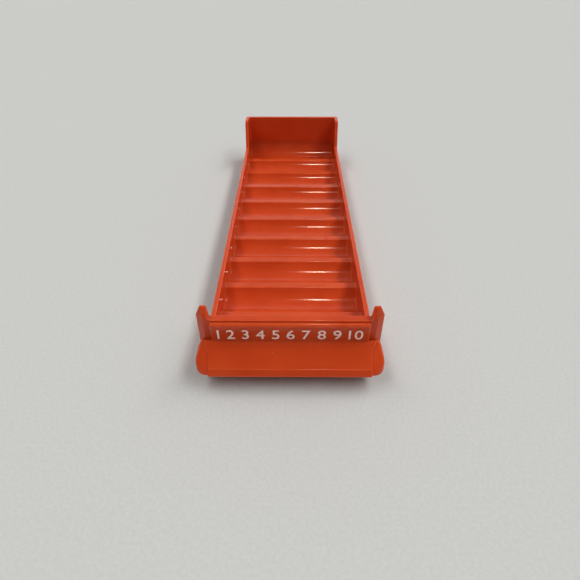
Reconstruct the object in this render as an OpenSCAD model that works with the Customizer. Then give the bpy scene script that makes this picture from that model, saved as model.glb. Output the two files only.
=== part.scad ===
// Coin roll tray: a long open tray with a row of rounded cradles for coin rolls,
// low side walls, a tall back, and a front wall with a label panel and a pull lip.
// X runs to the right, Y to the back and Z up. The tray stands on the plane Z = 0.
// The moulding is divided into sections that meet face to face.

/* [Rolls] */
// Number of coin rolls, one to a cradle
roll_count = 10; // [4:1:14]
// Diameter of a wrapped roll
roll_d = 24.8; // [18:0.1:32]
// Length of a wrapped roll
roll_length = 70; // [50:0.5:90]
// Gap between neighbouring rolls
roll_gap = 0.6; // [0.4:0.1:3]
// Radial play between a roll and its cradle
roll_play = 0.3; // [0.1:0.05:1]
// Room in a cradle beyond the length of its roll
end_play = 4; // [1:0.5:10]

/* [Cradles] */
// Depth of a cradle below the ridges beside it
cradle_depth = 5.5; // [3:0.1:6.8]
// Thickness of the scalloped floor
floor_t = 2.2; // [1.5:0.1:3]
// Height of the underside of the floor above the table
floor_lift = 1.2; // [0.6:0.1:4]
// Rounding along both edges of a ridge
ridge_round = 0.8; // [0.2:0.1:1.2]
// Width of the cove at the foot of an end wall, which carries on the curve of its cradle
cove_w = 2; // [1:0.1:4]

/* [Walls] */
// Thickness of the side walls and the back wall
wall_t = 2.5; // [1.8:0.1:4]
// Height of the level side walls
side_h = 17.5; // [14:0.5:26]
// Height of the back wall and of the two horns
back_h = 37; // [35:0.2:50]
// Rounding along the top edges of the walls
rim_round = 0.6; // [0.2:0.1:0.8]
// Rounding of the upright outer corners at the back
back_round = 2; // [0.5:0.1:2.4]
// Fillet in the upright inner corners at the back
corner_fillet = 1.8; // [0.5:0.1:2]

/* [Rear wings] */
// Length of a wing from its foot on the side wall to the back wall
wing_l = 20.6; // [14:0.2:40]
// Length of the level top of a wing
wing_top_l = 10.2; // [6:0.2:12]
// Rounding at the foot and at the top of a wing's sloping edge
wing_round = 3; // [1:0.2:4]

/* [Front wall] */
// Height of the front wall
front_h = 31; // [26:0.2:33]
// Thickness of the front wall
front_t = 3.8; // [2.5:0.1:6]
// Distance from an end of the label panel to the inner face of the side wall
panel_gap = 0.8; // [0.2:0.1:12]
// Distance that the label panel stands out from the front wall
panel_t = 1.6; // [1:0.1:3]
// Step from the top of the front wall down to the top of the panel
panel_drop = 1; // [0.5:0.1:3]
// Rounding of the panel's upper edge
panel_round = 1.3; // [0.3:0.1:1.5]
// Rounding of the panel's upright edges
panel_side_round = 0.8; // [0.2:0.1:0.9]

/* [Ears and horns] */
// Distance that an ear stands out past the side wall
ear_out = 2.6; // [1:0.1:5]
// Width of the bevel down an ear's outer front edge
ear_bevel_w = 3.2; // [0.5:0.1:4]
// Depth of the bevel down an ear's outer front edge
ear_bevel_d = 2.4; // [0.5:0.1:3]
// Height above the front wall at which a horn begins to narrow
horn_shoulder = 1.3; // [0.5:0.1:3]
// Width of a horn at its top
horn_top_w = 2.9; // [1.5:0.1:4]
// Distance from the inner edge of a horn's foot to the side wall's inner face
horn_foot = 0.2; // [0.1:0.1:2]
// Distance from the side wall's inner face out to a horn's top
horn_lean = 0.4; // [0.2:0.1:2]
// Distance that the front of a horn slopes back
horn_slope = 3; // [1:0.1:3.2]
// Rounding of a horn's upper corners
horn_round = 0.8; // [0.2:0.1:1.2]

/* [Pull lip] */
// Distance that the lip reaches forward from the label panel
lip_reach = 12; // [9:0.1:20]
// Height of the lip where it meets the label panel
lip_root_h = 19; // [17:0.2:21]
// Drop of the lip's upper face from the panel to its front face
lip_drop = 6.9; // [3:0.1:8]
// Height of the lip's front face
lip_edge_h = 3.5; // [2:0.1:6]
// Distance that the lip's front face slopes forward
lip_lean = 1.7; // [0.4:0.1:2]
// Thickness of the lip's sloping plate
lip_t = 2.2; // [1.5:0.1:2.8]
// Thickness of the turned-down edge
lip_edge_t = 2.2; // [1.5:0.1:3]
// Widening of the raised middle on each side where it meets the front wall
lip_flare = 2.8; // [1:0.1:3.4]
// Length over which the raised middle widens
lip_flare_l = 6.6; // [4:0.1:7]

/* [Lip corners] */
// Width of a lip corner beside the raised middle
corner_w = 6; // [5.2:0.1:12]
// Distance that a lip corner stands out past its ear
corner_out = 1.1; // [0.5:0.05:3]
// Length over which a lip corner widens from its ear
corner_flare_l = 7.2; // [4:0.1:8]
// Distance that the faces of a lip corner lie inside those of the raised middle
corner_step = 0.7; // [0.4:0.1:2]
// Radius of the round corner in plan
corner_r = 4.6; // [3:0.1:5.2]

/* [Hidden] */
// Flat steps in half the arc of a cradle, and in a rounded corner
cradle_steps = 14;
round_steps = 8;
// Small rounding along the top of the lip's front face, and the upright land along its bottom
lip_round = 0.8;
lip_land = 0.8;
// Bend where the raised middle of the lip begins to widen
flare_round = 5;
shell_colour = [0.80, 0.24, 0.12];

// Cradle geometry across the tray's length
pitch = roll_d + roll_gap;
cradle_r = roll_d / 2 + roll_play;
under_r = cradle_r + floor_t;
floor_z = floor_lift + floor_t;
ridge_z = floor_z + cradle_depth;
axis_z = floor_z + cradle_r;

// Rounded edge of a ridge, from the cradle's axis, and the angle where the cradle meets it
edge_z = ridge_z - ridge_round;
edge_y = sqrt(pow(cradle_r + ridge_round, 2) - pow(axis_z - edge_z, 2));
edge_a = atan2(axis_z - edge_z, edge_y);

// The hollow under a ridge has a flat roof, or closes to a point below a narrow ridge
roof_y = min(pitch / 2, sqrt(pow(under_r, 2) - pow(axis_z - ridge_z + floor_t, 2)));
roof_z = axis_z - sqrt(pow(under_r, 2) - pow(roof_y, 2));
roof_a = acos(roof_y / under_r);

// Angles on the upper and lower curve where a cove begins, and where its underside meets the wall
cove_y = cradle_r - cove_w;
cove_top_a = acos(cove_y / cradle_r);
cove_under_a = acos(cove_y / under_r);
cove_wall_a = acos(cradle_r / under_r);
// Depth of a cove's root in its wall
cove_root = min(wall_t, front_t) / 2;

// Widths
half_in = (roll_length + end_play) / 2;
body_half = half_in + wall_t;
ear_half = body_half + ear_out;
corner_half = ear_half + corner_out;
panel_half = half_in - panel_gap;
lip_half = corner_half - corner_w;

// Stations along Y, from the edge of the lip to the back face
inside_l = (roll_count - 1) * pitch + 2 * cradle_r;
tray_l = lip_reach + panel_t + front_t + inside_l + wall_t;
lip_y = -tray_l / 2;
panel_y = lip_y + lip_reach;
front_y = panel_y + panel_t;
inside_y0 = front_y + front_t;
inside_y1 = inside_y0 + inside_l;
back_y = inside_y1 + wall_t;
wing_foot_y = inside_y1 - wing_l;
wing_y0 = wing_foot_y - wing_round;

// Heights of the lip
lip_edge_z = lip_root_h - lip_drop;
lip_bottom_z = lip_edge_z - lip_edge_h;
corner_bottom_z = lip_bottom_z + corner_step;
lip_slope = lip_drop / (lip_reach - lip_lean);
lip_plate_z = lip_t * norm([1, lip_slope]);

SIDES = ["left", "right"];
function cradle_name(i) = str("cradle_", i < 10 ? "0" : "", i);
function cradle_y(i) = inside_y0 + cradle_r + (i - 1) * pitch;
function side_sign(side) = side == "left" ? -1 : 1;

// Outlines are lists of corners [x, y, radius]; a radius of 0 leaves a corner sharp
function unit(v) = v / norm(v);
function turned(v, a) = [v.x * cos(a) - v.y * sin(a), v.x * sin(a) + v.y * cos(a)];
function rounded(a, b, c, r) =
    let (
        u = unit(a - b),
        w = unit(c - b),
        half = acos(u * w) / 2,
        centre = b + unit(u + w) * r / sin(half),
        start = b + u * r / tan(half) - centre,
        turn = (u.x * w.y - u.y * w.x > 0 ? -1 : 1) * (180 - 2 * half)
    )
    [for (i = [0:round_steps]) centre + turned(start, turn * i / round_steps)];
function xy(corner) = [corner.x, corner.y];
function smooth(corners) =
    let (n = len(corners))
    [for (i = [0:n - 1])
        each corners[i].z > 0
            ? rounded(xy(corners[(i + n - 1) % n]), xy(corners[i]), xy(corners[(i + 1) % n]), corners[i].z)
            : [xy(corners[i])]];
function arc(centre, r, from, to, steps) =
    [for (i = [0:steps]) let (a = from + (to - from) * i / steps) centre + r * [cos(a), sin(a)]];

// Extrusions of a Y-Z profile along X, and of an X-Z profile along Y
module along_x(x0, x1) {
    translate([x0, 0, 0])
        rotate([90, 0, 90])
            linear_extrude(x1 - x0)
                children();
}

module along_y(y0, y1) {
    translate([0, y1, 0])
        rotate([90, 0, 0])
            linear_extrude(y1 - y0)
                children();
}

module on_side(side) {
    if (side_sign(side) > 0)
        children();
    else
        mirror([1, 0, 0])
            children();
}

// Half of a cradle's section, from the bottom of its curve out to the middle of a ridge,
// or to the cove of an end wall, and back along its underside
function half_cradle(at_end) =
    at_end
        ? concat(
            arc([0, axis_z], cradle_r, 270, 360 - cove_top_a, cradle_steps),
            arc([0, axis_z], under_r, 360 - cove_under_a, 270, cradle_steps)
        )
        : concat(
            arc([0, axis_z], cradle_r, 270, 360 - edge_a, cradle_steps),
            arc([edge_y, edge_z], ridge_round, 180 - edge_a, 90, round_steps),
            [[pitch / 2, ridge_z]],
            roof_y < pitch / 2 ? [[pitch / 2, roof_z]] : [],
            arc([0, axis_z], under_r, 360 - roof_a, 270, cradle_steps)
        );

module cradle(i) {
    front_half = half_cradle(i == 1);
    color(shell_colour)
        translate([0, cradle_y(i), 0])
            along_x(-half_in, half_in)
                polygon(concat(
                    half_cradle(i == roll_count),
                    [for (k = [len(front_half) - 2:-1:1]) [-front_half[k].x, front_half[k].y]]
                ));
}

// The curve of an end cradle, carried on up to the inner face of its wall and rooted in the wall
module cove() {
    top_curve = arc([0, axis_z], cradle_r, 360 - cove_top_a, 360, round_steps);
    under_curve = arc([0, axis_z], under_r, 360 - cove_wall_a, 360 - cove_under_a, round_steps);
    root = [cove_root, 0];
    along_x(-half_in, half_in)
        polygon(concat(
            top_curve,
            [top_curve[round_steps] + root, under_curve[0] + root],
            under_curve
        ));
}

module side_wall(side) {
    color(shell_colour)
        on_side(side)
            along_y(inside_y0, wing_y0)
                polygon(smooth([
                    [half_in, 0, 0],
                    [body_half, 0, 0],
                    [body_half, side_h, rim_round],
                    [half_in, side_h, rim_round]
                ]));
}

// The side wall rises along a sloping edge to the height of the back wall
module rear_wing(side) {
    color(shell_colour)
        on_side(side)
            along_x(half_in, body_half)
                polygon(smooth([
                    [wing_y0, 0, 0],
                    [inside_y1, 0, 0],
                    [inside_y1, back_h, 0],
                    [inside_y1 - wing_top_l, back_h, wing_round],
                    [wing_foot_y, side_h, wing_round],
                    [wing_y0, side_h, 0]
                ]));
}

module back_plate() {
    intersection() {
        linear_extrude(back_h)
            polygon(smooth([
                [-body_half, inside_y1, 0],
                [body_half, inside_y1, 0],
                [body_half, back_y, back_round],
                [-body_half, back_y, back_round]
            ]));
        along_x(-body_half, body_half)
            polygon(smooth([
                [inside_y1, 0, 0],
                [back_y, 0, 0],
                [back_y, back_h, rim_round],
                [inside_y1, back_h, rim_round]
            ]));
    }
}

// Fillet in an upright corner between the back wall and a wing, rising out of the cove
module back_corner() {
    translate([0, 0, ridge_z])
        linear_extrude(back_h - rim_round - ridge_z)
            polygon(concat(
                [[half_in, inside_y1]],
                arc(
                    [half_in - corner_fillet, inside_y1 - corner_fillet],
                    corner_fillet, 90, 0, round_steps
                )
            ));
}

module back_wall() {
    color(shell_colour) {
        back_plate();
        translate([0, cradle_y(roll_count), 0])
            cove();
        for (side = SIDES)
            on_side(side)
                back_corner();
    }
}

module front_wall() {
    color(shell_colour) {
        along_x(-half_in, half_in)
            polygon(smooth([
                [front_y, 0, 0],
                [inside_y0, 0, 0],
                [inside_y0, front_h, rim_round],
                [front_y, front_h, 0]
            ]));
        translate([0, cradle_y(1), 0])
            mirror([0, 1, 0])
                cove();
    }
}

module label_panel() {
    color(shell_colour)
        intersection() {
            along_x(-panel_half, panel_half)
                polygon(smooth([
                    [panel_y, lip_root_h, 0],
                    [front_y, lip_root_h, 0],
                    [front_y, front_h - panel_drop, 0],
                    [panel_y, front_h - panel_drop, panel_round]
                ]));
            linear_extrude(front_h)
                polygon(smooth([
                    [-panel_half, panel_y, panel_side_round],
                    [panel_half, panel_y, panel_side_round],
                    [panel_half, front_y, 0],
                    [-panel_half, front_y, 0]
                ]));
        }
}

// Post, ear and horn before they are bevelled
module ear_block() {
    intersection() {
        along_y(front_y, inside_y0)
            polygon(smooth([
                [half_in, 0, 0],
                [body_half, 0, 0],
                [body_half, corner_bottom_z, 0],
                [ear_half, corner_bottom_z, 0],
                [ear_half, front_h + horn_shoulder, horn_round],
                [half_in + horn_lean + horn_top_w, back_h, horn_round],
                [half_in + horn_lean, back_h, horn_round],
                [half_in - horn_foot, front_h, 0],
                [half_in, front_h, 0]
            ]));
        along_x(half_in - horn_foot, ear_half)
            polygon([
                [front_y, 0],
                [inside_y0, 0],
                [inside_y0, back_h],
                [front_y + horn_slope, back_h],
                [front_y, front_h]
            ]);
    }
}

// Wedge that bevels the outer front edge of an ear above the lip
module ear_bevel() {
    translate([0, 0, lip_root_h - corner_step])
        linear_extrude(back_h)
            polygon([
                [ear_half - 1.5 * ear_bevel_w, front_y - 0.5 * ear_bevel_d],
                [ear_half + 0.5 * ear_bevel_w, front_y - 0.5 * ear_bevel_d],
                [ear_half + 0.5 * ear_bevel_w, front_y + 1.5 * ear_bevel_d]
            ]);
}

// A corner post at the end of the front wall that stands out as a bevelled ear above the lip
// and ends in a horn whose front slopes back, to guide a tray that is stacked on top
module ear(side) {
    color(shell_colour)
        on_side(side)
            difference() {
                ear_block();
                ear_bevel();
            }
}

// Plan of the lip's raised middle, which widens towards the front wall
module lip_middle_plan() {
    flare_y = front_y - lip_flare_l;
    polygon(smooth([
        [-lip_half, lip_y, 0],
        [lip_half, lip_y, 0],
        [lip_half, flare_y, flare_round],
        [lip_half + lip_flare, front_y, 0],
        [-lip_half - lip_flare, front_y, 0],
        [-lip_half, flare_y, flare_round]
    ]));
}

// Plan of the whole lip behind its front edge, drawn in by an inset on its free edges
module lip_plan(inset) {
    edge_y = lip_y + corner_step + inset;
    side_x = corner_half - inset;
    root_x = ear_half - inset;
    flare_y = front_y - corner_flare_l;
    bend_r = corner_r - inset;
    polygon(smooth([
        [-side_x, edge_y, bend_r],
        [side_x, edge_y, bend_r],
        [side_x, flare_y, 0],
        [root_x, front_y, 0],
        [-root_x, front_y, 0],
        [-side_x, flare_y, 0]
    ]));
}

// Upper face of the lip from the front wall forward, then down its front face to a given height
module lip_block(step, bottom_z) {
    edge_y = lip_y + step;
    polygon(smooth([
        [front_y, bottom_z, 0],
        [front_y, lip_root_h - step, 0],
        [panel_y, lip_root_h - step, 0],
        [edge_y + lip_lean, lip_edge_z - step + step * lip_slope, lip_round],
        [edge_y, bottom_z + lip_land, 0],
        [edge_y, bottom_z, 0]
    ]));
}

// Space under the lip's plate, which reaches down past its turned-down edge
module lip_space(step) {
    top_z = lip_root_h - step - lip_plate_z;
    polygon([
        [front_y, 0],
        [front_y, top_z],
        [panel_y, top_z],
        [lip_y, top_z - lip_slope * lip_reach],
        [lip_y, 0]
    ]);
}

module pull_lip() {
    wide = lip_half + lip_flare;
    color(shell_colour)
        difference() {
            intersection() {
                linear_extrude(front_h)
                    lip_middle_plan();
                along_x(-wide, wide)
                    lip_block(0, lip_bottom_z);
            }
            intersection() {
                linear_extrude(front_h)
                    translate([-wide, lip_y + lip_edge_t])
                        square([2 * wide, front_y - lip_y - lip_edge_t]);
                along_x(-wide, wide)
                    lip_space(0);
            }
        }
}

module lip_corner(side) {
    color(shell_colour)
        on_side(side)
            difference() {
                intersection() {
                    linear_extrude(front_h)
                        difference() {
                            lip_plan(0);
                            lip_middle_plan();
                            translate([-corner_half, lip_y])
                                square([corner_half + lip_half / 2, tray_l]);
                        }
                    along_x(0, corner_half)
                        lip_block(corner_step, corner_bottom_z);
                }
                intersection() {
                    linear_extrude(front_h)
                        lip_plan(lip_edge_t);
                    along_x(0, corner_half)
                        lip_space(corner_step);
                }
            }
}

for (i = [1:roll_count])
    cradle(i);
for (side = SIDES) {
    side_wall(side);
    rear_wing(side);
    ear(side);
    lip_corner(side);
}
back_wall();
front_wall();
label_panel();
pull_lip();
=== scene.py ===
"""Coin roll tray: the visual model, its finish and a plain studio stage."""
import math

import bmesh
import bpy
from bpy.props import FloatProperty, FloatVectorProperty, PointerProperty
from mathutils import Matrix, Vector


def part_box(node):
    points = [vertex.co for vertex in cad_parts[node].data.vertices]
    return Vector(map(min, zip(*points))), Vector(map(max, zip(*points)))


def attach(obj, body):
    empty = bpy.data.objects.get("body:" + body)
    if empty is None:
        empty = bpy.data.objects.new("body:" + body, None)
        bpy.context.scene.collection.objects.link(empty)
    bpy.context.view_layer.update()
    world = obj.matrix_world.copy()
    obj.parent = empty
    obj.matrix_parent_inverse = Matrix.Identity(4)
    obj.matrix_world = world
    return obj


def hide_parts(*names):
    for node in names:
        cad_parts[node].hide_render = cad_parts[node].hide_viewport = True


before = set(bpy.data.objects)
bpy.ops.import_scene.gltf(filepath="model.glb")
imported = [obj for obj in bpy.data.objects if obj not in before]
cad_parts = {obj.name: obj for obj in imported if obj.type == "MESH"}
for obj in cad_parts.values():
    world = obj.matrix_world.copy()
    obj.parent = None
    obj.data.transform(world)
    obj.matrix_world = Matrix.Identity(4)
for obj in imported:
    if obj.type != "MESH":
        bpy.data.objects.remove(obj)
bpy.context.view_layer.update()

bl_info = {
    "name": "Coin roll tray",
    "version": (1, 0, 0),
    "blender": (4, 5, 0),
    "location": "3D View > Sidebar > Tray",
    "description": "Builds a moulded tray for wrapped coin rolls, with its finish and a plain stage",
    "category": "Add Mesh",
}

MM = 0.001
BODY = "root"
SIDES = {"left": -1, "right": 1}

# Places and sizes that the frame gives
CRADLES = sorted(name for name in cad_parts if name.startswith("cradle"))
CRADLE_LO, CRADLE_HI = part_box(CRADLES[-2])
SIDE_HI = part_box("side_wall_right")[1]
WING_LO, WING_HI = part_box("rear_wing_right")
BACK_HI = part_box("back_wall")[1]
EAR_LO, EAR_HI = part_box("ear_right")
PANEL_LO, PANEL_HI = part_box("label_panel")
LIP_LO, LIP_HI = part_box("pull_lip")
CORNER_LO, CORNER_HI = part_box("lip_corner_right")

PITCH = CRADLE_HI.y - CRADLE_LO.y
LAST_AXIS_Y = CRADLE_HI.y + PITCH / 2
CRADLE_R = WING_HI.y - LAST_AXIS_Y
HALF_IN = CRADLE_HI.x
RIDGE_Z = CRADLE_HI.z
INSIDE_Y0 = EAR_HI.y
INSIDE_Y1 = WING_HI.y
FRONT_Y = EAR_LO.y
FRONT_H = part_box("front_wall")[1].z
BODY_HALF = SIDE_HI.x
EAR_HALF = EAR_HI.x
PANEL_Y = PANEL_LO.y
LIP_Y = LIP_LO.y
LIP_ROOT_H = PANEL_LO.z
LIP_HALF = CORNER_LO.x
CORNER_STEP = CORNER_LO.y - LIP_Y

# Fineness of the meshes
ARC_STEPS = 18
ROUND_STEPS = 8
EDGE_ANGLES = [math.radians(a) for a in (0, 18, 36, 54, 72, 90)]
SHARP_ANGLE = math.radians(32)
HAIR = 0.01 * MM
LEAST_TURN = 0.001
ON_PLANE = 1e-7

# An edge rounded by this much or less is rubbed most
RUBBED_ROUND = 0.6 * MM

# The camera was fitted to the outline in the photograph; its lens and sensor are in millimetres
CAMERA_LENS = 28.6
CAMERA_SENSOR = 36
CAMERA_PLACE = (0.8 * MM, -275.75 * MM, 169.4 * MM)
CAMERA_TURN = (math.radians(51.57), 0, math.radians(0.32))

# A soft light is a row of suns along the tray, weaker towards both ends; the places are in metres
SUNS_EACH_WAY = 2
SUN_MIDDLE = 0.03
SUN_SPACING = 0.28
SUN_FALL = 0.08
SUN_ANGLE = math.radians(16)
RIGHT_X, RIGHT_Z = 0.572, 0.81
LEFT_X, LEFT_Z = -0.435, 0.89

# The lamp and the table top, in metres
LAMP_PLACE = (0.044, -0.034, 0.515)
LAMP_SIZE = 0.03
LAMP_COLOUR = (1, 0.86, 0.68)
FLOOR_HALF = 6


def length(name, description, millimetres):
    """A size in metres that a user can change."""
    return FloatProperty(
        name=name, description=description, default=millimetres * MM, unit="LENGTH", precision=5
    )


def colour(name, description, value):
    """A linear colour that a user can change."""
    return FloatVectorProperty(
        name=name, description=description, default=value, size=3, min=0, max=1, subtype="COLOR"
    )


def amount(name, description, value, unit="NONE"):
    """A number from 0 up that a user can change."""
    return FloatProperty(name=name, description=description, default=value, min=0, unit=unit)


class TrayShape(bpy.types.PropertyGroup):
    """Sizes of the moulding that the frame doesn't give."""

    floor_t: length("Floor", "Thickness of the scalloped floor", 2.2)
    ridge_round: length("Ridge rounding", "Rounding along both edges of a ridge", 0.8)
    floor_fillet: length("Floor fillet", "Fillet between the cradles and the side walls", 1.1)
    corner_fillet: length("Corner fillet", "Fillet in the upright inner corners at the back", 1.8)
    back_round: length("Back rounding", "Rounding of the upright outer corners at the back", 2.0)
    rim_round: length("Rim rounding", "Rounding along the top edges of the walls", 0.6)
    foot_bevel: length("Foot bevel", "Bevel along the lower edges of the walls", 0.25)
    wing_l: length("Wing length", "From a wing's foot on the side wall to the back wall", 20.6)
    wing_top_l: length("Wing top", "Length of the level top of a wing", 10.2)
    wing_round: length("Wing rounding", "Rounding at both ends of a wing's sloping edge", 3.0)
    wing_lean: length("Wing lean", "Distance that the wings lean out at the top", 0.45)
    front_round: length("Front rounding", "Rounding along the front edge of the front wall's top", 0.35)
    horn_fillet: length("Horn fillet", "Fillet between a horn and the top of the front wall", 0.7)
    horn_foot: length("Horn foot", "From the side wall's inner face in to a horn's foot", 0.2)
    horn_lean: length("Horn lean", "From the side wall's inner face out to a horn's top", 0.4)
    horn_top_w: length("Horn top", "Width of a horn at its top", 2.9)
    horn_shoulder: length("Horn shoulder", "Height above the front wall where a horn narrows", 1.3)
    horn_round: length("Horn rounding", "Rounding of a horn's upper corners", 0.8)
    horn_slope: length("Horn slope", "Distance that the front of a horn slopes back", 2.8)
    horn_bend: length("Horn bend", "Height above the front wall where a horn's front bends back", 1.7)
    ear_bevel_w: length("Ear bevel width", "Width of the bevel down an ear's outer front edge", 3.2)
    ear_bevel_d: length("Ear bevel depth", "Depth of the bevel down an ear's outer front edge", 2.4)
    ear_swell: length("Ear swell", "Distance that an ear stands out past the frame's edge", 0.35)
    ear_lean: length("Ear lean", "Distance that an ear's front leans forward at the top", 0.6)
    panel_round: length("Panel rounding", "Rounding of the panel's upper edge", 1.3)
    panel_side_round: length("Panel side rounding", "Rounding of the panel's upright edges", 0.8)
    panel_foot: length("Panel foot", "Fillet between the panel and the lip", 1.0)
    panel_lean: length("Panel lean", "Distance that the panel leans forward at the top", 1.1)
    lip_drop: length("Lip drop", "Drop of the lip from the panel to its front face", 6.9)
    lip_lean: length("Lip lean", "Distance that the lip's front face slopes forward", 1.7)
    lip_land: length("Lip land", "Height of the upright land under the lip's front face", 0.8)
    lip_groove: length("Lip groove", "Depth of the fine groove above the lip's front face", 0.2)
    lip_t: length("Lip plate", "Upright thickness of the lip's sloping plate", 2.65)
    lip_edge_t: length("Lip edge", "Thickness of the turned-down edge", 2.2)
    lip_round: length("Lip rounding", "Rounding along the lip's front edge", 0.8)
    lip_side_round: length("Lip side rounding", "Rounding along the sides of the raised middle", 0.4)
    lip_flare_l: length("Lip flare", "Length over which the raised middle widens", 6.6)
    corner_r: length("Corner radius", "Radius of a lip corner in plan", 5.3)
    corner_drop: length("Corner drop", "Distance that a lip corner's edge hangs below the frame's", 0.4)
    corner_round: length("Corner rounding", "Rounding along the upper edge of a lip corner", 1.7)
    corner_flare_l: length("Corner flare", "Length over which a lip corner widens from its ear", 7.2)
    number_h: length("Number height", "Height of the numbers on the panel", 5.9)
    number_z: length("Number level", "Height of the foot of the numbers", 21.1)
    number_span: length("Number span", "Length of the whole row of numbers", 66.2)
    number_t: length("Number thickness", "Distance that the numbers stand out from the panel", 0.35)


class TrayFinish(bpy.types.PropertyGroup):
    """Colours and surface of the moulding and its marking."""

    shell: colour("Shell", "Colour of the moulded plastic", (0.63, 0.068, 0.015))
    shell_dark: colour("Shell, dark", "Colour where the plastic flowed thick", (0.56, 0.054, 0.011))
    shell_worn: colour("Shell, worn", "Colour along rubbed edges", (0.80, 0.13, 0.042))
    dust: colour("Dust", "Colour of the specks of dust", (0.72, 0.42, 0.33))
    marking: colour("Marking", "Colour of the numbers", (0.96, 0.78, 0.70))
    cloud_rate: amount("Clouds", "Waves of the cloudy colour to the metre", 38)
    flow_rate: amount("Flow marks", "Waves of the flow marks to the metre", 60)
    grain_rate: amount("Grain", "Waves of the fine grain to the metre", 2400)
    patch_rate: amount("Patches", "Waves of the rubbed and dull patches to the metre", 140)
    speck_rate: amount("Specks", "Places for a speck of dust to the metre", 260)
    rough_least: amount("Least roughness", "Roughness of the plastic where it is smooth", 0.09)
    rough_most: amount("Most roughness", "Roughness of the plastic where it is dull", 0.14)
    wave_depth: length("Wave depth", "Depth of the slow waves in the surface", 0.05)
    grain_depth: length("Grain depth", "Depth of the fine grain", 0.006)
    reflection: amount("Reflection", "Strength of the plastic's reflection", 0.26)
    scatter: amount("Scatter", "Share of the light that scatters inside the plastic", 0.2)
    scatter_depth: length("Scatter depth", "Distance that red light goes inside the plastic", 5)


class TrayStage(bpy.types.PropertyGroup):
    """Light and floor."""

    floor: colour("Floor", "Colour of the floor", (0.615, 0.615, 0.595))
    room: amount("Room", "Brightness of the walls of the room", 0.52)
    right_light: amount("Right light", "Strength of the soft light on the right", 0.475)
    left_light: amount("Left light", "Strength of the soft light on the left", 0.28)
    shine: amount("Shine", "Brightness of the walls that gloss shows", 0.85)
    lamp: amount("Lamp", "Power of the compact lamp overhead", 0.34, "POWER")


# Outlines in a plane

def arc(centre, radius, start, end, steps):
    """Points on an arc, with its angles in degrees."""
    angles = [math.radians(start + (end - start) * i / steps) for i in range(steps + 1)]
    return [Vector((centre[0] + radius * math.cos(a), centre[1] + radius * math.sin(a))) for a in angles]


def rounded_corner(before, corner, after, radius):
    """Points on the arc that rounds a corner between its two neighbours."""
    u = (before - corner).normalized()
    w = (after - corner).normalized()
    half = u.angle(w) / 2
    centre = corner + (u + w).normalized() * radius / math.sin(half)
    start = corner + u * radius / math.tan(half) - centre
    turn = math.copysign(math.pi - 2 * half, u.y * w.x - u.x * w.y)
    points = []
    for i in range(ROUND_STEPS + 1):
        a = turn * i / ROUND_STEPS
        spoke = Vector((start.x * math.cos(a) - start.y * math.sin(a),
                        start.x * math.sin(a) + start.y * math.cos(a)))
        points.append(centre + spoke)
    return points


def outline(corners, closed=True):
    """A line through corners (a, b, radius); a radius of 0 leaves a corner sharp."""
    places = [Vector(c[:2]) for c in corners]
    count = len(places)
    points = []
    for i, (place, corner) in enumerate(zip(places, corners)):
        at_end = not closed and i in (0, count - 1)
        if corner[2] == 0 or at_end:
            points.append(place)
        else:
            points += rounded_corner(places[i - 1], place, places[(i + 1) % count], corner[2])
    return points


def inset(points, distances):
    """A closed counterclockwise outline whose edges have each moved inwards by their own distance."""
    count = len(points)
    moved = []
    for i, point in enumerate(points):
        back = (point - points[i - 1]).normalized()
        ahead = (points[(i + 1) % count] - point).normalized()
        d0, d1 = distances[i - 1], distances[i]
        turn = back.x * ahead.y - back.y * ahead.x
        if abs(turn) < LEAST_TURN:
            moved.append(point + Vector((-back.y, back.x)) * (d0 + d1) / 2)
        else:
            shift = Vector((d0 * ahead.x - d1 * back.x, d0 * ahead.y - d1 * back.y)) / turn
            moved.append(point + shift)
    return moved


def path_normals(points):
    """Unit vectors to the left of an open path at each of its points."""
    normals = []
    last = len(points) - 1
    for i in range(last + 1):
        along = (points[min(i + 1, last)] - points[max(i - 1, 0)]).normalized()
        normals.append(Vector((-along.y, along.x)))
    return normals


# Solids and pieces

def loft(rings, folded=False):
    """A closed solid through rings of equally many points, with flat ends.

    A folded ring runs out along one face of a shell and back along the other, and its ends are strips.
    """
    solid = bmesh.new()
    cap = solid.faces.layers.int.new("cap")
    loops = [[solid.verts.new(point) for point in ring] for ring in rings]
    count = len(loops[0])
    for near, far in zip(loops, loops[1:]):
        for i in range(count):
            j = (i + 1) % count
            solid.faces.new((near[i], near[j], far[j], far[i]))
    for loop in (loops[0], loops[-1]):
        if folded:
            for i in range(count // 2 - 1):
                strip = (loop[i], loop[i + 1], loop[count - 2 - i], loop[count - 1 - i])
                solid.faces.new(strip)[cap] = 1
        else:
            solid.faces.new(loop)[cap] = 1
    return solid


def cut(solid, point, normal, keep_all=False):
    """Cuts a solid along a plane; unless all is kept, the part that the normal points to goes."""
    made = bmesh.ops.bisect_plane(
        solid, geom=solid.verts[:] + solid.edges[:] + solid.faces[:], dist=ON_PLANE,
        plane_co=point, plane_no=normal, clear_outer=not keep_all,
    )
    if not keep_all:
        rim = [e for e in made["geom_cut"] if isinstance(e, bmesh.types.BMEdge)]
        cap = solid.faces.layers.int["cap"]
        for face in bmesh.ops.contextual_create(solid, geom=rim)["faces"]:
            face[cap] = 1


def mark_wear(solid):
    """Stores how sharply the surface turns outwards at each vertex, from 0 to 1, apart from flat ends."""
    wear = solid.verts.layers.float.new("wear")
    cap = solid.faces.layers.int.get("cap") or solid.faces.layers.int.new("cap")
    for edge in solid.edges:
        if len(edge.link_faces) != 2 or any(face[cap] for face in edge.link_faces):
            continue
        widths = [face.calc_area() / edge.calc_length() for face in edge.link_faces]
        bend = edge.calc_face_angle_signed(0) / (sum(widths) / 2)
        for vert in edge.verts:
            vert[wear] = max(vert[wear], min(1, bend * RUBBED_ROUND))
    solid.faces.layers.int.remove(cap)


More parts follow.
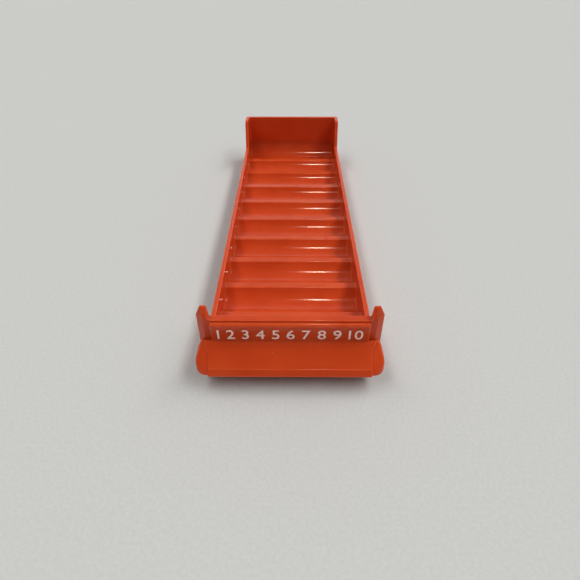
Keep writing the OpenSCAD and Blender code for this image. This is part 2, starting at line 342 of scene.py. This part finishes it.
def add_piece(name, solid, nodes, *materials, slot="shell"):
    """Turns a solid into a piece that stands for CAD nodes."""
    solid.normal_update()
    bmesh.ops.recalc_face_normals(solid, faces=solid.faces[:])
    mark_wear(solid)
    mesh = bpy.data.meshes.new(name)
    solid.to_mesh(mesh)
    solid.free()
    mesh.shade_smooth()
    mesh.set_sharp_from_angle(angle=SHARP_ANGLE)
    for material in materials:
        mesh.materials.append(material)
    piece = bpy.data.objects.new(name, mesh)
    bpy.context.scene.collection.objects.link(piece)
    even = piece.modifiers.new("Even shading", "WEIGHTED_NORMAL")
    even.keep_sharp = True
    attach(piece, BODY)
    if nodes:
        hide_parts(*nodes)
    return piece


# Materials

def new_material(name):
    """An empty node material with its shader."""
    material = bpy.data.materials.get(name)
    if material:
        bpy.data.materials.remove(material)
    material = bpy.data.materials.new(name)
    material.use_nodes = True
    return material, material.node_tree, material.node_tree.nodes["Principled BSDF"]


def add_node(tree, kind, inputs=(), **settings):
    """Adds a shader node; its inputs are values or the sockets that feed them."""
    node = tree.nodes.new(kind)
    for key, value in settings.items():
        setattr(node, key, value)
    for key, value in dict(inputs).items():
        if isinstance(value, bpy.types.NodeSocket):
            tree.links.new(value, node.inputs[key])
        else:
            node.inputs[key].default_value = value
    return node


def noise(tree, place, scale, detail=2.0, stretch=(1, 1, 1)):
    """Noise from 0 to 1 at points in metres, with a number of waves to the metre."""
    mapping = add_node(tree, "ShaderNodeMapping", {"Vector": place, "Scale": stretch})
    return add_node(tree, "ShaderNodeTexNoise", {
        "Vector": mapping.outputs["Vector"], "Scale": scale, "Detail": detail,
    }).outputs["Fac"]


def spread(tree, value, low, high, start=0.0, end=1.0):
    """A value taken from one range to another."""
    return add_node(tree, "ShaderNodeMapRange", {
        "Value": value, "From Min": low, "From Max": high, "To Min": start, "To Max": end,
    }).outputs["Result"]


def multiply(tree, first, second):
    """The product of two values."""
    node = add_node(tree, "ShaderNodeMath", {0: first, 1: second}, operation="MULTIPLY")
    return node.outputs["Value"]


def blend(tree, share, first, second):
    """A colour between two others."""
    node = add_node(tree, "ShaderNodeMix", data_type="RGBA")
    for index, value in ((0, share), (6, first), (7, second)):
        if isinstance(value, bpy.types.NodeSocket):
            tree.links.new(value, node.inputs[index])
        else:
            node.inputs[index].default_value = value
    return node.outputs[2]


def rgba(value):
    """A colour property as the four numbers of a socket."""
    return (*value, 1)


def shell_plastic(finish):
    """Glossy plastic that scatters light inside, with flow marks, a fine grain, rubbed edges and dust."""
    material, tree, shader = new_material("shell_plastic")
    place = add_node(tree, "ShaderNodeTexCoord").outputs["Object"]
    clouds = noise(tree, place, finish.cloud_rate, 3)
    flow = noise(tree, place, finish.flow_rate, 3, (6, 0.5, 3))
    grain = noise(tree, place, finish.grain_rate, 2)
    patches = noise(tree, place, finish.patch_rate, 4)
    wear = add_node(tree, "ShaderNodeAttribute", attribute_name="wear").outputs["Fac"]
    specks = add_node(tree, "ShaderNodeTexVoronoi", {"Vector": place, "Scale": finish.speck_rate})
    dots = spread(tree, specks.outputs["Distance"], 0.075, 0.03)
    chosen = spread(tree, noise(tree, place, 190, 1), 0.62, 0.66)

    tone = blend(tree, spread(tree, clouds, 0.35, 0.65), rgba(finish.shell_dark), rgba(finish.shell))
    tone = blend(tree, spread(tree, flow, 0.45, 0.75, 0, 0.35), tone, rgba(finish.shell_dark))
    rubbed = multiply(tree, wear, spread(tree, patches, 0.3, 0.7, 0.15, 0.75))
    tone = blend(tree, rubbed, tone, rgba(finish.shell_worn))
    tone = blend(tree, multiply(tree, dots, spread(tree, chosen, 0, 1, 0, 0.6)), tone, rgba(finish.dust))
    tree.links.new(tone, shader.inputs["Base Color"])

    gloss = spread(tree, patches, 0.25, 0.75, finish.rough_least, finish.rough_most)
    tree.links.new(gloss, shader.inputs["Roughness"])
    waves = add_node(tree, "ShaderNodeBump", {
        "Height": clouds, "Strength": 1.0, "Distance": finish.wave_depth,
    })
    skin = add_node(tree, "ShaderNodeBump", {
        "Height": grain, "Strength": 0.5, "Distance": finish.grain_depth, "Normal": waves.outputs["Normal"],
    })
    tree.links.new(skin.outputs["Normal"], shader.inputs["Normal"])
    shader.inputs["IOR"].default_value = 1.5
    shader.inputs["Specular IOR Level"].default_value = finish.reflection
    shader.inputs["Subsurface Weight"].default_value = finish.scatter
    shader.inputs["Subsurface Radius"].default_value = (1, 0.2, 0.1)
    shader.inputs["Subsurface Scale"].default_value = finish.scatter_depth
    return material


def marking_white(finish):
    """A thin white layer stamped on raised numbers, rubbed through in places."""
    material, tree, shader = new_material("marking_white")
    place = add_node(tree, "ShaderNodeTexCoord").outputs["Object"]
    patches = noise(tree, place, 900, 3)
    rubbed = spread(tree, patches, 0.58, 0.75, 0, 0.45)
    tone = blend(tree, rubbed, rgba(finish.marking), rgba(finish.shell_worn))
    tree.links.new(tone, shader.inputs["Base Color"])
    tree.links.new(spread(tree, patches, 0.3, 0.7, 0.45, 0.6), shader.inputs["Roughness"])
    skin = add_node(tree, "ShaderNodeBump", {"Height": patches, "Strength": 0.4, "Distance": 0.02 * MM})
    tree.links.new(skin.outputs["Normal"], shader.inputs["Normal"])
    return material


def pale_floor(stage):
    """A plain pale table top with a faint grain."""
    material, tree, shader = new_material("pale_floor")
    place = add_node(tree, "ShaderNodeTexCoord").outputs["Object"]
    grain = noise(tree, place, 700, 4)
    pale = rgba(stage.floor)
    grey = rgba([c * 0.94 for c in stage.floor])
    tree.links.new(blend(tree, spread(tree, grain, 0.35, 0.65), grey, pale), shader.inputs["Base Color"])
    shader.inputs["Roughness"].default_value = 0.7
    shader.inputs["Specular IOR Level"].default_value = 0.2
    return material


def material_named(name):
    """A material that the finish operator has made."""
    material = bpy.data.materials.get(name)
    if material is None:
        raise RuntimeError(f"the finish {name} is made before the pieces")
    return material


# Cradles

def half_cradle(shape, at_wall, fillet_at):
    """Points on the upper face with their normals and fillets, from the bottom out to a ridge or a wall."""
    axis_z = cradle_axis_z(shape)
    if at_wall:
        edge_angle = 0
    else:
        edge_z = RIDGE_Z - shape.ridge_round
        reach = CRADLE_R + shape.ridge_round
        edge_angle = math.degrees(math.asin((axis_z - edge_z) / reach))
    points = []
    for place in arc((0, axis_z), CRADLE_R, 270, 360 - edge_angle, ARC_STEPS):
        inwards = (Vector((0, axis_z)) - place).normalized()
        points.append((place, inwards, fillet_at(CRADLE_R - place.x)))
    if not at_wall:
        edge_y = math.sqrt(reach ** 2 - (axis_z - edge_z) ** 2)
        centre = Vector((edge_y, edge_z))
        for place in arc(centre, shape.ridge_round, 180 - edge_angle, 90, ROUND_STEPS)[1:]:
            points.append((place, (place - centre).normalized(), shape.floor_fillet))
        points.append((Vector((PITCH / 2, RIDGE_Z)), Vector((0, 1)), shape.floor_fillet))
    return points


def cradle_axis_z(shape):
    """Height of the axis of a roll."""
    return CRADLE_LO.z + shape.floor_t + CRADLE_R


def cradle_under_z(shape, y):
    """Height of the hollow underside at a distance from the cradle's axis."""
    curve = cradle_axis_z(shape) - math.sqrt((CRADLE_R + shape.floor_t) ** 2 - y ** 2)
    return min(curve, RIDGE_Z - shape.floor_t)


def cradle_solid(shape, axis_y, at_front, at_back):
    """A cradle whose curve runs out in a fillet at both side walls, and up the wall at an end of the row."""
    fading = 2 * MM
    growth = 0.9

    def plain(_distance):
        return shape.floor_fillet

    # The fillet fades out at the front wall, and grows into the upright fillet at the back wall
    def front(distance):
        return max(2 * HAIR, shape.floor_fillet * min(1, distance / fading))

    def back(distance):
        return max(shape.floor_fillet, shape.corner_fillet - growth * distance)

    rear = half_cradle(shape, at_back, back if at_back else plain)
    fore = half_cradle(shape, at_front, front if at_front else plain)
    mirrored = [(Vector((-p.x, p.y)), Vector((-n.x, n.y)), r) for p, n, r in reversed(fore[1:])]
    upper = mirrored + rear

    rings = []
    for side in (-1, 1):
        for t in EDGE_ANGLES if side > 0 else reversed(EDGE_ANGLES):
            ring = []
            for place, normal, fillet in upper:
                lifted = place + normal * fillet * (1 - math.cos(t))
                ring.append((side * (HALF_IN - fillet * (1 - math.sin(t))), axis_y + lifted.x, lifted.y))
            x = side * (HALF_IN - shape.floor_fillet * (1 - math.sin(t)))
            for place, _normal, _fillet in reversed(upper):
                ring.append((x, axis_y + place.x, cradle_under_z(shape, place.x)))
            rings.append(ring)
    return loft(rings, folded=True)


# Walls

def wall_ring(shape, inner, outer, top, stretch=1.0):
    """An upright section of a wall between two points in plan, with a rounded rim."""
    width = (outer - inner).length
    r = shape.rim_round
    rise = r * stretch
    foot = shape.foot_bevel
    section = [(foot, 0), (0, foot)]
    section += [(r - r * math.cos(t), top - rise + rise * math.sin(t)) for t in EDGE_ANGLES]
    section += [(width - r + r * math.sin(t), top - rise + rise * math.cos(t)) for t in EDGE_ANGLES]
    section += [(width, foot), (width - foot, 0)]
    ring = []
    for across, z in section:
        place = inner.lerp(outer, across / width)
        lean = shape.wing_lean * max(0, z - SIDE_HI.z) / (WING_HI.z - SIDE_HI.z)
        ring.append((place.x + math.copysign(lean, inner.x), place.y, z))
    return ring


def straight_ring(shape, side, y, top, stretch=1.0):
    """A section across a side wall."""
    return wall_ring(shape, Vector((side * HALF_IN, y)), Vector((side * BODY_HALF, y)), top, stretch)


def corner_ring(shape, side, angle):
    """A section across the wall on its way round a back corner, from 0 at the wing to 90 degrees."""
    spoke = Vector((side * math.cos(angle), math.sin(angle)))
    inner = Vector((side * (HALF_IN - shape.corner_fillet), INSIDE_Y1 - shape.corner_fillet))
    outer = Vector((side * (BODY_HALF - shape.back_round), BACK_HI.y - shape.back_round))
    return wall_ring(
        shape, inner + spoke * shape.corner_fillet, outer + spoke * shape.back_round, WING_HI.z
    )


def side_wall_solid(shape, side):
    """The low level wall beside the cradles."""
    return loft([straight_ring(shape, side, y, SIDE_HI.z) for y in (INSIDE_Y0, WING_LO.y)])


def wing_solid(shape, side):
    """The side wall's rise to the height of the back."""
    foot_y = INSIDE_Y1 - shape.wing_l
    rim = outline([
        (WING_LO.y, SIDE_HI.z, 0),
        (foot_y, SIDE_HI.z, shape.wing_round),
        (INSIDE_Y1 - shape.wing_top_l, WING_HI.z, shape.wing_round),
        (INSIDE_Y1 - shape.corner_fillet, WING_HI.z, 0),
    ], closed=False)
    rings = []
    for place, normal in zip(rim[:-1], path_normals(rim)):
        # Across a slope an upright section shows the rim's rounding stretched
        stretch = 1 / max(abs(normal.y), 0.1)
        rings.append(straight_ring(shape, side, place.x, place.y, stretch))
    rings.append(corner_ring(shape, side, 0))
    return loft(rings)


def back_solid(shape):
    """The back wall with both of its upright corners."""
    quarter = [math.pi / 2 * i / ROUND_STEPS for i in range(ROUND_STEPS + 1)]
    rings = [corner_ring(shape, -1, a) for a in quarter]
    rings += [corner_ring(shape, 1, a) for a in reversed(quarter)]
    return loft(rings)


# Front

def front_seam(shape):
    """Distance from the middle to the joint between the front wall and an ear."""
    clear_of_fillet = 1.3 * shape.horn_fillet
    return HALF_IN - shape.horn_foot - clear_of_fillet


def front_wall_solid(shape):
    """The front wall between the ears."""
    section = outline([
        (FRONT_Y, 0, 0),
        (INSIDE_Y0, 0, 0),
        (INSIDE_Y0, FRONT_H, shape.rim_round),
        (FRONT_Y, FRONT_H, shape.front_round),
    ])
    seam = front_seam(shape)
    return loft([[(x, p.x, p.y) for p in section] for x in (-seam, seam)])


def ear_edge(shape):
    """Distance from the middle to the outer edge of an ear."""
    return EAR_HALF + shape.ear_swell


def ear_outline(shape):
    """Front view of the right ear: a post, the ear above the lip, and a horn with a fillet at its foot."""
    seam = front_seam(shape)
    top = EAR_HI.z
    return outline([
        (seam, 0, 0),
        (BODY_HALF, 0, 0),
        (BODY_HALF, CORNER_LO.z, 0),
        (ear_edge(shape), CORNER_LO.z, 0),
        (ear_edge(shape), FRONT_H + shape.horn_shoulder, shape.horn_round),
        (HALF_IN + shape.horn_lean + shape.horn_top_w, top, shape.horn_round),
        (HALF_IN + shape.horn_lean, top, shape.horn_round),
        (HALF_IN - shape.horn_foot, FRONT_H, shape.horn_fillet),
        (seam, FRONT_H, 0),
    ])


def horn_bend_z(shape):
    """Height where the front of a horn bends back."""
    return FRONT_H + shape.horn_bend


def ear_set_back(shape, x, z):
    """Distance that the ear's front lies back, along its bevel and up its horn."""
    bend_z = horn_bend_z(shape)
    bevel = shape.ear_bevel_d * max(0, 1 - (ear_edge(shape) - x) / shape.ear_bevel_w)
    slope = shape.horn_slope * max(0, z - bend_z) / (EAR_HI.z - bend_z)
    below = bend_z - min(max(z, LIP_ROOT_H), bend_z)
    return min(bevel + slope, shape.horn_slope) + shape.ear_lean * below / (bend_z - LIP_ROOT_H)


def ear_solid(shape, side):
    """An ear with its horn."""
    front = ear_outline(shape)
    # Edges that meet the front wall, and those below the lip corner, stay where they are
    joined = []
    for a, b in zip(front, front[1:] + front[:1]):
        at_seam = max(a.x, b.x) < front_seam(shape) + HAIR
        joined.append(at_seam or max(a.y, b.y) < CORNER_LO.z + HAIR)
    rings = []
    for at_back, radius in ((False, shape.front_round), (True, shape.rim_round)):
        for t in reversed(EDGE_ANGLES) if at_back else EDGE_ANGLES:
            depth = radius * (1 - math.cos(t))
            y = INSIDE_Y0 - depth if at_back else FRONT_Y + depth
            drawn_in = radius * (1 - math.sin(t))
            ring = inset(front, [0 if fixed else drawn_in for fixed in joined])
            rings.append([(p.x, y, p.y) for p in ring])
    solid = loft(rings)
    # The front bends along these planes: beside the bevel, under the slope, and where both reach full depth
    bevel_x = ear_edge(shape) - shape.ear_bevel_w
    bend_z = horn_bend_z(shape)
    full = (shape.ear_bevel_d / shape.ear_bevel_w, 0, shape.horn_slope / (EAR_HI.z - bend_z))
    cut(solid, (bevel_x, 0, 0), (1, 0, 0), keep_all=True)
    cut(solid, (bevel_x, 0, EAR_HI.z), full, keep_all=True)
    for z in (LIP_ROOT_H, bend_z):
        cut(solid, (0, 0, z), (0, 0, 1), keep_all=True)
    middle_y = (FRONT_Y + INSIDE_Y0) / 2
    for vert in solid.verts:
        if vert.co.y < middle_y:
            vert.co.y += ear_set_back(shape, vert.co.x, vert.co.z)
        vert.co.x *= side
    return solid


def panel_face(shape, z):
    """Place of the panel's face at a height, leaning forward from its foot."""
    share = (z - LIP_ROOT_H) / (PANEL_HI.z - LIP_ROOT_H)
    return PANEL_Y + shape.panel_lean * (0.5 - share)


def panel_ring(shape, x, recess):
    """A section through the label panel, with a fillet at its foot."""
    head = panel_face(shape, PANEL_HI.z) + recess
    foot = panel_face(shape, LIP_ROOT_H) + recess
    foot_z = lip_top(shape, foot)
    head_round = min(shape.panel_round, 0.8 * (FRONT_Y - head))
    # The fillet fades towards the panel's sides, but never to nothing
    share = max(0.02, 1 - recess / shape.panel_side_round)
    slope = math.atan(lip_slope(shape))
    toe = shape.panel_foot * share + 5 * HAIR
    section = outline([
        (FRONT_Y, LIP_ROOT_H - shape.lip_t / 2, 0),
        (FRONT_Y, PANEL_HI.z, 0),
        (head, PANEL_HI.z, head_round),
        (foot, foot_z, shape.panel_foot * share),
        (foot - toe * math.cos(slope), foot_z - toe * math.sin(slope), 0),
    ])
    return [(x, p.x, p.y) for p in section]


def panel_solid(shape):
    """The raised panel on the front wall."""
    rings = []
    for side in (-1, 1):
        for t in EDGE_ANGLES if side > 0 else reversed(EDGE_ANGLES):
            x = side * (PANEL_HI.x - shape.panel_side_round * (1 - math.sin(t)))
            rings.append(panel_ring(shape, x, shape.panel_side_round * (1 - math.cos(t))))
    return loft(rings)


# Lip

def lip_slope(shape):
    """Fall of the lip's upper face for each metre forward."""
    return shape.lip_drop / (PANEL_Y - LIP_Y - shape.lip_lean)


def lip_top(shape, y):
    """Height of the raised middle's upper face, level behind the panel's face and sloping before it."""
    return LIP_ROOT_H - lip_slope(shape) * max(0, PANEL_Y - y)


def lip_half_width(shape, y):
    """Half the width of the raised middle, which widens towards the front wall in a soft bend."""
    bend = 1.5 * MM
    along = y - (FRONT_Y - shape.lip_flare_l)
    widening = (LIP_HI.x - LIP_HALF) / shape.lip_flare_l
    return LIP_HALF + widening * (along + math.hypot(along, bend)) / 2


def lip_section(shape, depth, middle):
    """The path along the lip's upper face (depth 0) or underside, and down to the middle of its edge."""
    edge_y = LIP_Y + (shape.lip_edge_t if depth else 0)
    # The back of the turned-down edge leans less than its front face, and there is no groove below
    crease_y = edge_y + (0.25 if depth else 1) * shape.lip_lean
    groove = 0 if depth else shape.lip_groove
    soft = 0.6 * shape.lip_round
    # Steps along the flare, from the panel to a little past its end
    flare = [FRONT_Y - shape.lip_flare_l * i / 8 for i in range(3, 11)]
    corners = [(FRONT_Y, LIP_ROOT_H - depth, 0), (PANEL_Y, LIP_ROOT_H - depth, 0)]
    corners += [(y, lip_top(shape, y) - depth, 0) for y in flare]
    # The groove lies half a millimetre behind the crease
    for back, sunk in ((1.0, 0), (0.5, groove)):
        y = crease_y + back * MM
        corners.append((y, lip_top(shape, y) - depth - sunk, 0))
    corners += [
        (crease_y, lip_top(shape, crease_y) - depth, soft),
        (edge_y, LIP_LO.z + shape.lip_land, soft),
        # Rounder than the sides, so that no face shrinks to nothing where they meet
        (edge_y, LIP_LO.z, 1.5 * shape.lip_side_round),
        (middle, LIP_LO.z, 0),
    ]
    return outline(corners, closed=False)


def lip_solid(shape):
    """The raised middle of the pull lip: a sloping plate with a turned-down edge."""
    middle = LIP_Y + shape.lip_edge_t / 2
    # Both faces end at a narrow strip under the edge
    gap = 0.1 * shape.lip_edge_t
    upper = lip_section(shape, 0, middle - gap)
    lower = lip_section(shape, shape.lip_t, middle + gap)
    outwards = [-n for n in path_normals(upper)]
    r = shape.lip_side_round
    rings = []
    for side in (-1, 1):
        for t in EDGE_ANGLES if side > 0 else reversed(EDGE_ANGLES):
            pull = r * (1 - math.sin(t))
            sunk = [p - n * r * (1 - math.cos(t)) for p, n in zip(upper, outwards)]
            ring = sunk + lower[::-1]
            rings.append([(side * (lip_half_width(shape, p.x) - pull), p.x, p.y) for p in ring])
    return loft(rings, folded=True)


def corner_plan(shape):
    """Plan of the right lip corner, run on past the joints where it is cut."""
    spare = 6 * MM
    inner_x = LIP_HALF - spare
    flare_y = FRONT_Y - shape.corner_flare_l
    narrowing = (CORNER_HI.x - EAR_HALF) / shape.corner_flare_l
    end_y = FRONT_Y + shape.ear_bevel_d + spare
    return outline([
        (inner_x, CORNER_LO.y, 0),
        (CORNER_HI.x, CORNER_LO.y, shape.corner_r),
        (CORNER_HI.x, flare_y, shape.corner_r / 2),
        (CORNER_HI.x - narrowing * (end_y - flare_y), end_y, 0),
        (inner_x, end_y, 0),
    ])


def corner_solid(shape, side):
    """A lip corner: a rounded plate with an edge turned down all round, a step below the middle."""
    plan = corner_plan(shape)
    top_round = shape.corner_round
    low_round = shape.lip_side_round
    wall = shape.lip_edge_t
    # Heights hang from the upper face, or stand on the lower edge where they are below this level
    edge = -50 * MM
    levels = [(top_round * (1 - math.sin(t)), -top_round * (1 - math.cos(t))) for t in EDGE_ANGLES]
    foot = [(low_round * (1 - math.cos(t)), low_round * (1 - math.sin(t))) for t in EDGE_ANGLES]
    levels += [(across, edge + up) for across, up in foot]
    levels += [(wall - across, edge + up) for across, up in reversed(foot)]
    levels += [(wall, -shape.lip_t)]
    rings = []
    for drawn_in, z in levels:
        ring = inset(plan, [drawn_in] * len(plan))
        rings.append([(p.x, p.y, z) for p in ring])
    solid = loft(rings)
    # The turned-down edge leans over this height
    height = lip_top(shape, LIP_Y + shape.lip_lean) - LIP_LO.z - 1.3 * CORNER_STEP
    cut(solid, (0, PANEL_Y, 0), (0, 1, 0), keep_all=True)
    # The corner ends inside the ear's bevel, and runs on a little below the raised middle
    end_y = FRONT_Y + 0.95 * shape.ear_bevel_d
    inner_x = LIP_HALF - 1.5 * MM
    cut(solid, (0, end_y, 0), (0, 1, 0))
    cut(solid, (inner_x, 0, 0), (-1, 0, 0))
    for vert in solid.verts:
        forward = max(0, PANEL_Y - vert.co.y) / (PANEL_Y - CORNER_LO.y)
        lean = shape.lip_lean * min(1, forward)
        if vert.co.z < edge / 2:
            vert.co.y += lean * (vert.co.z - edge) / height
            vert.co.z += CORNER_LO.z - shape.corner_drop - edge
        else:
            top = lip_top(shape, vert.co.y + lean)
            vert.co.y += lean * (1 + vert.co.z / height)
            vert.co.z += top - CORNER_STEP
        vert.co.x *= side
    return solid


# Marking

def number_mesh(text, height, depth):
    """A number as a mesh that stands on the X axis."""
    words = bpy.data.curves.new("number", "FONT")
    words.body = text
    words.extrude = depth / 2
    words.bevel_depth = depth / 4
    words.bevel_resolution = 1
    words.resolution_u = 6
    # The capitals of the built-in font are about seven tenths of its size
    words.size = height / 0.7
    holder = bpy.data.objects.new("number", words)
    bpy.context.scene.collection.objects.link(holder)
    solid = bmesh.new()
    solid.from_mesh(holder.evaluated_get(bpy.context.evaluated_depsgraph_get()).to_mesh())
    bpy.data.objects.remove(holder)
    bpy.data.curves.remove(words)
    return solid


def numbers_solid(shape, count):
    """The numbers of the rolls in a row on the panel, with white faces and sides in the shell's colour."""
    numbers = [number_mesh(str(i + 1), shape.number_h, shape.number_t) for i in range(count)]
    starts = [min(v.co.x for v in number.verts) for number in numbers]
    widths = [max(v.co.x for v in number.verts) - start for number, start in zip(numbers, starts)]
    gap = (shape.number_span - sum(widths)) / (count - 1)
    row = bmesh.new()
    x = -shape.number_span / 2
    for number, start, width in zip(numbers, starts, widths):
        for vert in number.verts:
            across, up, out = vert.co
            z = shape.number_z + up
            vert.co = (x + across - start, panel_face(shape, z) - out, z)
        x += width + gap
        holder = bpy.data.meshes.new("number")
        number.to_mesh(holder)
        number.free()
        row.from_mesh(holder)
        bpy.data.meshes.remove(holder)
    bmesh.ops.remove_doubles(row, verts=row.verts[:], dist=HAIR / 10)
    # Faces that look forward or back are white
    for face in row.faces:
        face.normal_update()
        face.material_index = 0 if abs(face.normal.y) > 0.5 else 1
    return row


# Stage

def add_light(name, kind, energy, place):
    """A light turned to the tray, which the camera doesn't see."""
    data = bpy.data.lights.new(name, kind)
    data.energy = energy
    light = bpy.data.objects.new(name, data)
    light.location = place
    light.rotation_euler = (-light.location).to_track_quat("-Z", "Y").to_euler()
    light.visible_camera = False
    bpy.context.scene.collection.objects.link(light)
    return light


def add_soft_light(name, strength, across, height):
    """A long soft light along one side of the tray, made of a row of suns that gloss doesn't show."""
    for i in range(-SUNS_EACH_WAY, SUNS_EACH_WAY + 1):
        place = (across, SUN_MIDDLE + SUN_SPACING * i, height)
        number = SUNS_EACH_WAY + i + 1
        light = add_light(f"{name}_{number}", "SUN", strength * (1 - SUN_FALL * i * i), place)
        light.data.angle = SUN_ANGLE
        light.visible_glossy = False


def add_lamp(watts):
    """A compact warm lamp that only gloss shows."""
    light = add_light("lamp", "AREA", watts, LAMP_PLACE)
    light.data.size = LAMP_SIZE
    light.data.color = LAMP_COLOUR
    light.visible_diffuse = False


def add_camera():
    """The camera at the photograph's place, above and in front of the lip."""
    data = bpy.data.cameras.new("camera")
    data.lens = CAMERA_LENS
    data.sensor_width = CAMERA_SENSOR
    camera = bpy.data.objects.new("camera", data)
    camera.location = CAMERA_PLACE
    camera.rotation_euler = CAMERA_TURN
    bpy.context.scene.collection.objects.link(camera)
    bpy.context.scene.camera = camera


def add_floor(material):
    """The table top."""
    half = FLOOR_HALF
    mesh = bpy.data.meshes.new("table_top")
    corners = [(-half, -half, 0), (half, -half, 0), (half, half, 0), (-half, half, 0)]
    mesh.from_pydata(corners, [], [(0, 1, 2, 3)])
    mesh.materials.append(material)
    table = bpy.data.objects.new("table_top", mesh)
    bpy.context.scene.collection.objects.link(table)


def light_sky(stage):
    """Soft light from the walls of a room, bright behind and dim overhead, and plain pale for the camera.

    Gloss shows the pale walls behind, and little of the front.
    """
    world = bpy.data.worlds.new("soft_room")
    bpy.context.scene.world = world
    world.use_nodes = True
    tree = world.node_tree
    place = add_node(tree, "ShaderNodeTexCoord").outputs["Generated"]
    parts = add_node(tree, "ShaderNodeSeparateXYZ", {"Vector": place})
    low = spread(tree, parts.outputs["Z"], 0.85, 0.35, 0.25, 1)
    rear = spread(tree, parts.outputs["Y"], -0.3, 0.6, 0.5, 1)
    behind = spread(tree, parts.outputs["Y"], -0.2, 0.4, 0.1, 1)
    light = blend(tree, multiply(tree, rear, low), rgba([0] * 3), rgba([stage.room] * 3))
    shine = blend(tree, multiply(tree, behind, low), rgba([0] * 3), rgba([stage.shine] * 3))
    path = add_node(tree, "ShaderNodeLightPath").outputs
    light = blend(tree, path["Is Glossy Ray"], light, shine)
    light = blend(tree, path["Is Camera Ray"], light, rgba(stage.floor))
    tree.links.new(light, tree.nodes["Background"].inputs["Color"])


# Operators

class TRAY_OT_finish(bpy.types.Operator):
    """Make the materials of the moulding and its marking"""

    bl_idname = "tray.finish"
    bl_label = "Finish"

    def execute(self, context):
        finish = context.scene.tray_finish
        shell_plastic(finish)
        marking_white(finish)
        return {"FINISHED"}


class TRAY_OT_cradles(bpy.types.Operator):
    """Make the row of cradles for the rolls"""

    bl_idname = "tray.cradles"
    bl_label = "Cradles"

    def execute(self, context):
        shape = context.scene.tray_shape
        shell = material_named("shell_plastic")
        last = len(CRADLES) - 1
        for i, node in enumerate(CRADLES):
            axis_y = LAST_AXIS_Y - (last - i) * PITCH
            add_piece(f"roll_{node}", cradle_solid(shape, axis_y, i == 0, i == last), [node], shell)
        return {"FINISHED"}


class TRAY_OT_walls(bpy.types.Operator):
    """Make the side walls, the rear wings and the back wall"""

    bl_idname = "tray.walls"
    bl_label = "Walls"

    def execute(self, context):
        shape = context.scene.tray_shape
        shell = material_named("shell_plastic")
        for name, side in SIDES.items():
            add_piece(f"low_wall_{name}", side_wall_solid(shape, side), [f"side_wall_{name}"], shell)
            add_piece(f"wing_{name}", wing_solid(shape, side), [f"rear_wing_{name}"], shell)
        add_piece("tall_back", back_solid(shape), ["back_wall"], shell)
        return {"FINISHED"}


class TRAY_OT_front(bpy.types.Operator):
    """Make the front wall, its ears and the label panel"""

    bl_idname = "tray.front"
    bl_label = "Front"

    def execute(self, context):
        shape = context.scene.tray_shape
        shell = material_named("shell_plastic")
        add_piece("front_plate", front_wall_solid(shape), ["front_wall"], shell)
        for name, side in SIDES.items():
            add_piece(f"horned_ear_{name}", ear_solid(shape, side), [f"ear_{name}"], shell)
        add_piece("raised_panel", panel_solid(shape), ["label_panel"], shell)
        return {"FINISHED"}


class TRAY_OT_lip(bpy.types.Operator):
    """Make the pull lip and its two corners"""

    bl_idname = "tray.lip"
    bl_label = "Pull lip"

    def execute(self, context):
        shape = context.scene.tray_shape
        shell = material_named("shell_plastic")
        add_piece("lip_middle", lip_solid(shape), ["pull_lip"], shell)
        for name, side in SIDES.items():
            add_piece(f"lip_end_{name}", corner_solid(shape, side), [f"lip_corner_{name}"], shell)
        return {"FINISHED"}


class TRAY_OT_marking(bpy.types.Operator):
    """Make the numbers on the label panel"""

    bl_idname = "tray.marking"
    bl_label = "Marking"

    def execute(self, context):
        shape = context.scene.tray_shape
        white = material_named("marking_white")
        shell = material_named("shell_plastic")
        add_piece("panel_numbers", numbers_solid(shape, len(CRADLES)), [], white, shell, slot="marking")
        return {"FINISHED"}


class TRAY_OT_stage(bpy.types.Operator):
    """Set the camera, the floor and the light"""

    bl_idname = "tray.stage"
    bl_label = "Stage"

    def execute(self, context):
        stage = context.scene.tray_stage
        add_camera()
        add_floor(pale_floor(stage))
        light_sky(stage)
        add_soft_light("right_light", stage.right_light, RIGHT_X, RIGHT_Z)
        add_soft_light("left_light", stage.left_light, LEFT_X, LEFT_Z)
        add_lamp(stage.lamp)
        context.scene.view_settings.view_transform = "Standard"
        return {"FINISHED"}


STEPS = (
    TRAY_OT_finish, TRAY_OT_cradles, TRAY_OT_walls, TRAY_OT_front,
    TRAY_OT_lip, TRAY_OT_marking, TRAY_OT_stage,
)


class TRAY_PT_panel(bpy.types.Panel):
    """Sizes, colours and the steps of the build"""

    bl_idname = "TRAY_PT_panel"
    bl_label = "Coin roll tray"
    bl_space_type = "VIEW_3D"
    bl_region_type = "UI"
    bl_category = "Tray"

    def draw(self, context):
        for step in STEPS:
            self.layout.operator(step.bl_idname)
        for group in (context.scene.tray_shape, context.scene.tray_finish, context.scene.tray_stage):
            box = self.layout.box()
            for name in group.__annotations__:
                box.prop(group, name)


GROUPS = {"tray_shape": TrayShape, "tray_finish": TrayFinish, "tray_stage": TrayStage}
CLASSES = (*GROUPS.values(), *STEPS, TRAY_PT_panel)


def register():
    """Adds the classes and the settings that the scene holds."""
    for cls in CLASSES:
        bpy.utils.register_class(cls)
    for name, group in GROUPS.items():
        setattr(bpy.types.Scene, name, PointerProperty(type=group))


def unregister():
    """Takes away what register adds."""
    for name in GROUPS:
        delattr(bpy.types.Scene, name)
    for cls in reversed(CLASSES):
        bpy.utils.unregister_class(cls)


def main():
    """Builds the tray and its stage."""
    register()
    bpy.ops.tray.finish()
    bpy.ops.tray.cradles()
    bpy.ops.tray.walls()
    bpy.ops.tray.front()
    bpy.ops.tray.lip()
    bpy.ops.tray.marking()
    bpy.ops.tray.stage()


if __name__ == "__main__":
    main()
